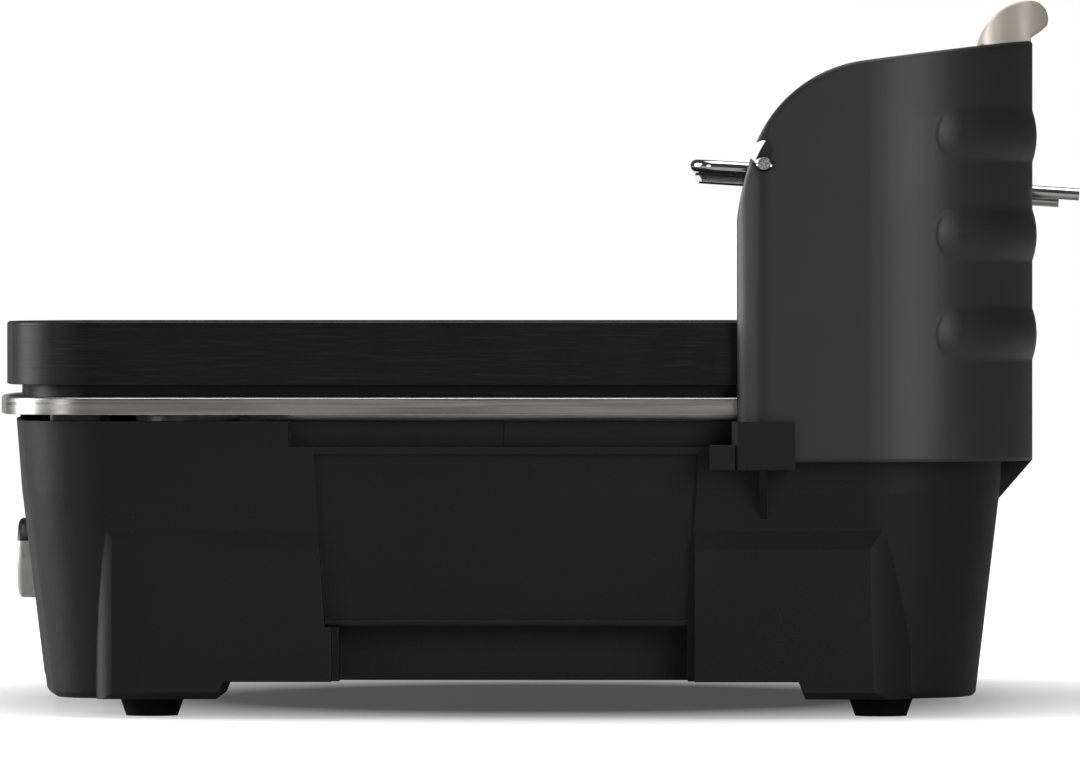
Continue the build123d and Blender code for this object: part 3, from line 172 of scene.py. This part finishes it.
class Shade(Nodes):
    """One procedural material: a Principled shader and the nodes that vary it."""

    def __init__(self, name, color, metallic=0.0, roughness=0.5, **sockets):
        self.name = name
        self.material = bpy.data.materials.new(name)
        self.material.use_nodes = True
        super().__init__(self.material.node_tree)
        self.shader = self.tree.nodes["Principled BSDF"]
        self.color = (*color, 1.0)
        self.metallic = metallic
        self.roughness = roughness
        self.painted = None
        self.rounded = None
        self.set("Base Color", self.color)
        self.set("Metallic", metallic)
        self.set("Roughness", roughness)
        for socket, value in sockets.items():
            self.set(socket.replace("_", " "), value)
        self.place = self.node("TexCoord").outputs["Object"]

    def set(self, socket, value):
        self.shader.inputs[socket].default_value = value

    def vary(self, socket, value):
        """Lets a node's output set one of the shader's inputs."""
        self.link(value, self.shader.inputs[socket])

    def scaled(self, scale):
        """The object's own coordinates, each times a number."""
        mapping = self.node("Mapping", Scale=scale)
        self.link(self.place, mapping.inputs["Vector"])
        return mapping.outputs["Vector"]

    def noise(self, scale, detail, stretch=(1, 1, 1)):
        node = self.node("TexNoise", Scale=scale, Detail=detail)
        self.link(self.scaled(stretch), node.inputs["Vector"])
        return node.outputs["Fac"]

    def past(self, value, limit):
        """1 where a value is past its limit, with a sharp edge."""
        return self.ramp(value, low=0.0, high=1.0, start=limit, end=limit + SHARP_EDGE)

    def specks(self, scale, size, share):
        """1 on small dots in that share of the cells."""
        cells = self.node("TexVoronoi", Scale=scale)
        self.link(self.place, cells.inputs["Vector"])
        chance = self.node("SeparateColor")
        self.link(cells.outputs["Color"], chance.inputs["Color"])
        chosen = self.ramp(chance.outputs["Red"], low=1.0, high=0.0, start=share - SPECK_BLEND, end=share)
        dots = self.ramp(cells.outputs["Distance"], low=1.0, high=0.0, start=size / 2, end=size)
        return self.both(dots, chosen)

    def edges(self, radius):
        """Rounds the edges in the shading and gives 1 where they are."""
        bevel = self.node("Bevel", Radius=radius)
        bevel.samples = BEVEL_SAMPLES
        face = self.node("NewGeometry")
        self.rounded = bevel.outputs["Normal"]
        self.vary("Normal", self.rounded)
        turn = self.vector("DOT_PRODUCT", self.rounded, face.outputs["True Normal"])
        return self.ramp(turn["Value"], 1.0, 0.0, *EDGE_TURN)

    def tint(self, mask, other):
        """Paints another colour where the mask is 1."""
        mix = self.node("Mix")
        mix.data_type = "RGBA"
        mix.inputs["A"].default_value = self.color
        if self.painted:
            self.link(self.painted, mix.inputs["A"])
        mix.inputs["B"].default_value = (*other, 1.0)
        self.link(mask, mix.inputs["Factor"])
        self.painted = mix.outputs["Result"]
        self.vary("Base Color", self.painted)

    def mottle(self, noise, start, end, other):
        """Paints another colour in the patches where the noise is high."""
        self.tint(self.ramp(noise, low=0.0, high=1.0, start=start, end=end), other)

    def vary_roughness(self, noise, spread):
        low = max(self.roughness - spread, ROUGHNESS_LEAST)
        high = self.roughness + spread
        self.vary("Roughness", self.ramp(noise, low, high, *ROUGHNESS_BLEND))

    def bump(self, height, distance):
        node = self.node("Bump", Distance=distance)
        self.link(height, node.inputs["Height"])
        if self.rounded:
            self.link(self.rounded, node.inputs["Normal"])
        self.vary("Normal", node.outputs["Normal"])


def plain(name, color, roughness, scale, metallic=0.0, spread=0.07, **sockets):
    """Material for a small piece: an even colour with cloudy wear and roughness."""
    shade = Shade(name, color, metallic, roughness, **sockets)
    shade.mottle(shade.noise(scale, detail=4), *WEAR_BLEND, [WEAR_SHADE * part for part in color])
    shade.vary_roughness(shade.noise(scale * 2, detail=3), spread)
    shade.bump(shade.noise(scale * 6, detail=2), WEAR_BUMP)
    return shade


# Fine-grained black moulding, paler along its worn edges
base = Shade("base_plastic", (0.0085, 0.0085, 0.0087), roughness=0.5, Specular_IOR_Level=0.22)
base.mottle(base.noise(scale=9, detail=2), start=0.3, end=0.7, other=(0.0105, 0.0105, 0.0107))
base.tint(base.specks(scale=240, size=0.07, share=0.3), grey(0.03))
worn = base.ramp(base.noise(scale=60, detail=3), low=0.0, high=0.6, start=0.4, end=0.7)
base.tint(base.both(base.edges(radius=0.0006), worn), grey(0.02))
base.vary_roughness(base.noise(scale=18, detail=2), spread=0.05)
base.bump(base.noise(scale=1500, detail=2), distance=0.00006)

# Satin charcoal paint
screen = Shade("screen_paint", (0.0120, 0.0118, 0.0120), roughness=0.44, Specular_IOR_Level=0.62)
screen.mottle(screen.noise(scale=6, detail=2), start=0.35, end=0.7, other=(0.0145, 0.0142, 0.0142))
screen.tint(screen.specks(scale=120, size=0.03, share=0.1), grey(0.05))
screen.edges(radius=0.0025)
screen.vary_roughness(screen.noise(scale=14, detail=3), spread=0.04)
screen.bump(screen.noise(scale=900, detail=2), distance=0.00002)

# Black coating with faint level streaks; its edges are painted paler as a highlight
plate = Shade("plate_coating", grey(0.0045), roughness=0.46, Specular_IOR_Level=0.2)
streaks = plate.noise(scale=1500, detail=3, stretch=(0.05, 0.05, 1))
plate.mottle(streaks, start=0.5, end=0.75, other=grey(0.013))
plate.tint(plate.specks(scale=300, size=0.06, share=0.25), grey(0.09))
# Painted highlight: paler colour along every edge of the plate
plate.tint(plate.edges(radius=0.0005), grey(0.02))
plate.vary_roughness(plate.noise(scale=40, detail=3), spread=0.06)
plate.bump(plate.noise(scale=900, detail=3, stretch=(0.08, 0.08, 1)), distance=0.00004)

# Steel with level brush marks, and a painted highlight along its edges
brushed = (0.02, 0.02, 1)
steel = Shade("tray_steel", (0.42, 0.41, 0.39), metallic=1.0, roughness=0.33)
streaks = steel.noise(scale=700, detail=3, stretch=brushed)
steel.mottle(streaks, start=0.4, end=0.7, other=(0.36, 0.35, 0.33))
# Painted highlight: lighter colour along the tray's edges
steel.tint(steel.edges(radius=0.0004), (0.55, 0.54, 0.52))
steel.vary_roughness(steel.noise(scale=900, detail=2, stretch=brushed), spread=0.07)
steel.bump(steel.noise(scale=1300, detail=2, stretch=brushed), distance=0.000004)

# Bright plated wire; the sawn ends of the front bar are dark and rough
chrome = Shade("rack_chrome", (0.56, 0.56, 0.55), metallic=1.0, roughness=0.12)
from_middle = chrome.calculate("ABSOLUTE", chrome.axis(chrome.place, "X"), 0.0)
sawn = chrome.past(from_middle, bar_end)
saw_marks = chrome.ramp(chrome.noise(scale=2200, detail=4), low=0.2, high=1.0, start=0.4, end=0.6)
chrome.tint(chrome.both(sawn, saw_marks), grey(0.10))
cloudy = chrome.ramp(chrome.noise(scale=160, detail=3), low=0.08, high=0.17, start=0.3, end=0.7)
rough = chrome.ramp(sawn, low=0.0, high=0.5, start=0.0, end=1.0)
chrome.vary("Roughness", chrome.calculate("MAXIMUM", cloudy, rough))
chrome.bump(chrome.both(sawn, chrome.noise(scale=2600, detail=3)), distance=0.00015)

# Satin silver, painted black over the top of the knob as a dark reflection; the painted black turns with the
# knob
silver = Shade("knob_silver", (0.66, 0.65, 0.63), metallic=0.25, roughness=0.36)
painted_reflection_top = silver.past(silver.axis(silver.place, "Z"), reflection_top_z)
silver.mottle(silver.noise(scale=500, detail=3), start=0.4, end=0.7, other=(0.60, 0.59, 0.57))
silver.tint(painted_reflection_top, grey(0.006))
silver.vary("Metallic", silver.ramp(painted_reflection_top, low=silver.metallic, high=0.0, start=0.0, end=1.0))
silver.vary_roughness(silver.noise(scale=300, detail=3), spread=0.05)

# Warm grey satin metal
taupe = Shade("grip_metal", (0.54, 0.485, 0.415), metallic=0.2, roughness=0.46)
taupe.mottle(taupe.noise(scale=30, detail=3), start=0.35, end=0.7, other=(0.49, 0.44, 0.38))
taupe.edges(radius=0.0008)
taupe.vary_roughness(taupe.noise(scale=200, detail=3), spread=0.05)
taupe.bump(taupe.noise(scale=1800, detail=2), distance=0.000008)

# Small pieces
dark = plain("dark_plastic", grey(0.010), roughness=0.45, scale=60, Specular_IOR_Level=0.3)
print_ink = plain("dial_print", (0.5, 0.5, 0.49), roughness=0.55, scale=600)
shades = (
    base, screen, plate, steel, chrome, silver, taupe, dark,
    plain("foot_rubber", grey(0.005), roughness=0.72, scale=90, Specular_IOR_Level=0.2),
    plain("inlet_plastic", grey(0.010), roughness=0.3, scale=60),
    plain("lamp_lens", (0.5, 0.02, 0.015), roughness=0.18, scale=120, spread=0.04),
    plain("fastener_steel", grey(0.5), roughness=0.35, scale=400, metallic=1.0),
    plain("element_steel", (0.16, 0.15, 0.14), roughness=0.5, scale=300, metallic=1.0),
    plain("contact_brass", (0.7, 0.52, 0.25), roughness=0.3, scale=300, metallic=1.0),
    plain("socket_ceramic", (0.72, 0.69, 0.63), roughness=0.6, scale=80),
    plain("wire_insulation", (0.3, 0.28, 0.25), roughness=0.7, scale=80),
)


def paint(mesh, material):
    mesh.materials.clear()
    mesh.materials.append(material)


# Each node takes the material that is named after its slot
material_of = {shade.name: shade.material for shade in shades}
for part in frame["record"]["subparts"]:
    paint(nodes[part["node"]].data, material_of[part["material_slot"]])


# Dial marks on the front wall, and painted shade for the recesses in the screw heads

def piece(name, mesh, shade, body):
    """Adds a finished mesh to the scene as a piece of one body."""
    made = bpy.data.objects.new(name, mesh)
    bpy.context.collection.objects.link(made)
    paint(mesh, shade.material)
    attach(made, body)


def turned(across, up, out):
    """Matrix that turns X, Y and Z to three directions."""
    return Matrix((across, up, out)).transposed().to_4x4()


def add_block(mesh, place, size):
    """Adds a block of that size to a mesh, its middle at the place."""
    bmesh.ops.create_cube(mesh, size=1.0, matrix=place @ Matrix.Diagonal((*size, 1)))


def on_front(x, z):
    """Matrix that lays a flat mark on the base's front face at (x, z), with its top toward +Z."""
    start = Vector((x, cad_low[1] - RAY_RUN, z))
    _, spot, normal, _ = nodes["base_housing"].ray_cast(start, Vector((0, 1, 0)))
    across = Vector((0, 0, 1)).cross(normal).normalized()
    return Matrix.Translation(spot) @ turned(across, normal.cross(across), normal)


def number_mesh(text):
    """Flat numeral as a mesh centred on its own origin."""
    curve = bpy.data.curves.new("numeral", "FONT")
    curve.body = text
    curve.size = NUMERAL_SIZE
    curve.extrude = MARK_PROUD
    curve.align_x = "CENTER"
    curve.align_y = "CENTER"
    made = bpy.data.objects.new("numeral", curve)
    bpy.context.collection.objects.link(made)
    mesh = bpy.data.meshes.new_from_object(made.evaluated_get(bpy.context.evaluated_depsgraph_get()))
    bpy.data.objects.remove(made)
    return mesh


marks = bmesh.new()
for step in range(DIAL_STEPS + 1):
    turn = math.radians(dial_step * step)
    ahead = Vector((math.sin(turn), 0, math.cos(turn)))
    spot = knob_axis + TICK_R * ahead
    place = on_front(spot.x, spot.z) @ Matrix.Rotation(-turn, 4, "Z")
    add_block(marks, place, (TICK_WIDTH, TICK_LENGTH, 2 * MARK_PROUD))
    spot = knob_axis + NUMERAL_R * ahead
    numeral = number_mesh(str(step))
    numeral.transform(on_front(spot.x, spot.z))
    marks.from_mesh(numeral)
dial = bpy.data.meshes.new("dial_marks")
marks.to_mesh(dial)
piece("dial_marks", dial, print_ink, "base")


def islands(node):
    """Corner boxes of the separate solids of a node."""
    mesh = bmesh.new()
    mesh.from_mesh(nodes[node].data)
    bmesh.ops.remove_doubles(mesh, verts=mesh.verts, dist=WELD_GAP)
    left = set(mesh.verts)
    boxes = []
    while left:
        group = [left.pop()]
        for vert in group:
            for edge in vert.link_edges:
                other = edge.other_vert(vert)
                if other in left:
                    left.remove(other)
                    group.append(other)
        spots = [vert.co for vert in group]
        low = Vector([min(spot[i] for spot in spots) for i in range(3)])
        high = Vector([max(spot[i] for spot in spots) for i in range(3)])
        boxes.append((low, high))
    return sorted(boxes, key=lambda box: tuple(box[0]))


def drive_recesses(node, out, body):
    """Dark flat crosses on the heads of a node's screws, painted shade in place of their drive recesses; out
    is the way the heads face.
    """
    out = Vector(out)
    across = Vector((1, 0, 0))
    turn = turned(across, out.cross(across), out) @ Matrix.Rotation(math.radians(CROSS_TURN), 4, "Z")
    crosses = bmesh.new()
    for low, high in islands(node):
        reach = abs((high - low).dot(out)) / 2
        place = Matrix.Translation((low + high) / 2 + out * reach) @ turn
        long = CROSS_SPAN * (high - low).x
        short = CROSS_ARM * long
        add_block(crosses, place, (long, short, CROSS_T))
        add_block(crosses, place, (short, long, CROSS_T))
    mesh = bpy.data.meshes.new(node + "_recess_shade")
    crosses.to_mesh(mesh)
    piece(node + "_recess_shade", mesh, dark, body)


drive_recesses("cover_screws", (0, 0, -1), "base")
drive_recesses("inlet_screws", (0, 1, 0), "base")


# Floor, light and camera

# Mid-grey floor that glows to white: faintly under the object, so that its shadow stays, and fully away
# from it. Metal mirrors the glow in full only at the end of the floor behind the object.
bpy.ops.mesh.primitive_plane_add(size=FLOOR_SIZE, location=(0, 0, 0))
floor = bpy.context.object
floor.name = "floor"
ground = Shade("floor_paint", grey(0.45), roughness=0.9, Specular_IOR_Level=0.1, Emission_Color=(1, 1, 1, 1))
ground.mottle(ground.noise(scale=2, detail=2), start=0.3, end=0.7, other=grey(0.43))
ovals = ground.scaled((1 / GLOW_OVAL[0], 1 / GLOW_OVAL[1], 1))
glow = ground.ramp(ground.vector("LENGTH", ovals)["Value"], FLOOR_GLOW, 1.0, *GLOW_BLEND)
direction = ground.vector("NORMALIZE", ground.place)["Vector"]
behind = ground.ramp(ground.axis(direction, "X"), 1.0, ROOM_DIM, *WHITE_END)
seen, mirrored = ground.shown_rays()
lit = ground.calculate("ADD", seen, ground.both(mirrored, behind))
ground.vary("Emission Strength", ground.both(lit, glow))
floor.data.materials.append(ground.material)

# White room: metal mirrors it in full only at its end behind the object, and the rest of it is dim
world = bpy.data.worlds.new("studio")
bpy.context.scene.world = world
world.use_nodes = True
room = Nodes(world.node_tree)
background = room.tree.nodes["Background"]
background.inputs["Color"].default_value = (1, 1, 1, 1)
direction = room.node("TexCoord").outputs["Generated"]
behind = room.ramp(room.axis(direction, "X"), 1.0, ROOM_DIM, *WHITE_END, blend="SMOOTHSTEP")
seen, mirrored = room.shown_rays()
shown = room.calculate("MAXIMUM", seen, room.both(mirrored, behind))
room.link(room.calculate("MAXIMUM", shown, ROOM_DIM), background.inputs["Strength"])


def aim(thing, place, at):
    """Puts a lamp or a camera at a place and turns it to look at a point."""
    thing.location = place
    thing.rotation_euler = (at - place).to_track_quat("-Z", "Y").to_euler()


def softbox(name, bearing, distance, height, size, power):
    """Soft light at a bearing from +X toward +Y, aimed at the object."""
    light = bpy.data.lights.new(name, "AREA")
    light.shape = "RECTANGLE"
    light.size, light.size_y = size
    light.energy = power
    lamp = bpy.data.objects.new(name, light)
    bpy.context.collection.objects.link(lamp)
    angle = math.radians(bearing)
    aim(lamp, Vector((distance * math.cos(angle), distance * math.sin(angle), height)), LAMP_AIM)


softbox("left_box", bearing=-98, distance=2.6, height=0.8, size=(1.6, 1.5), power=70)
softbox("left_fill", bearing=-45, distance=3.2, height=0.7, size=(0.8, 1.4), power=11)
softbox("right_box", bearing=29, distance=3.2, height=0.8, size=(1.4, 1.5), power=33)
softbox("top_box", bearing=0, distance=0.1, height=2.4, size=(2.0, 2.0), power=50)

lens_data = bpy.data.cameras.new("camera")
lens_data.sensor_width = CAMERA_SENSOR
lens_data.lens = CAMERA_LENS
lens_data.clip_end = CAMERA_REACH
camera = bpy.data.objects.new("camera", lens_data)
bpy.context.collection.objects.link(camera)
aim(camera, CAMERA_PLACE, CAMERA_AIM)
bpy.context.scene.camera = camera
bpy.context.scene.view_settings.view_transform = "Standard"
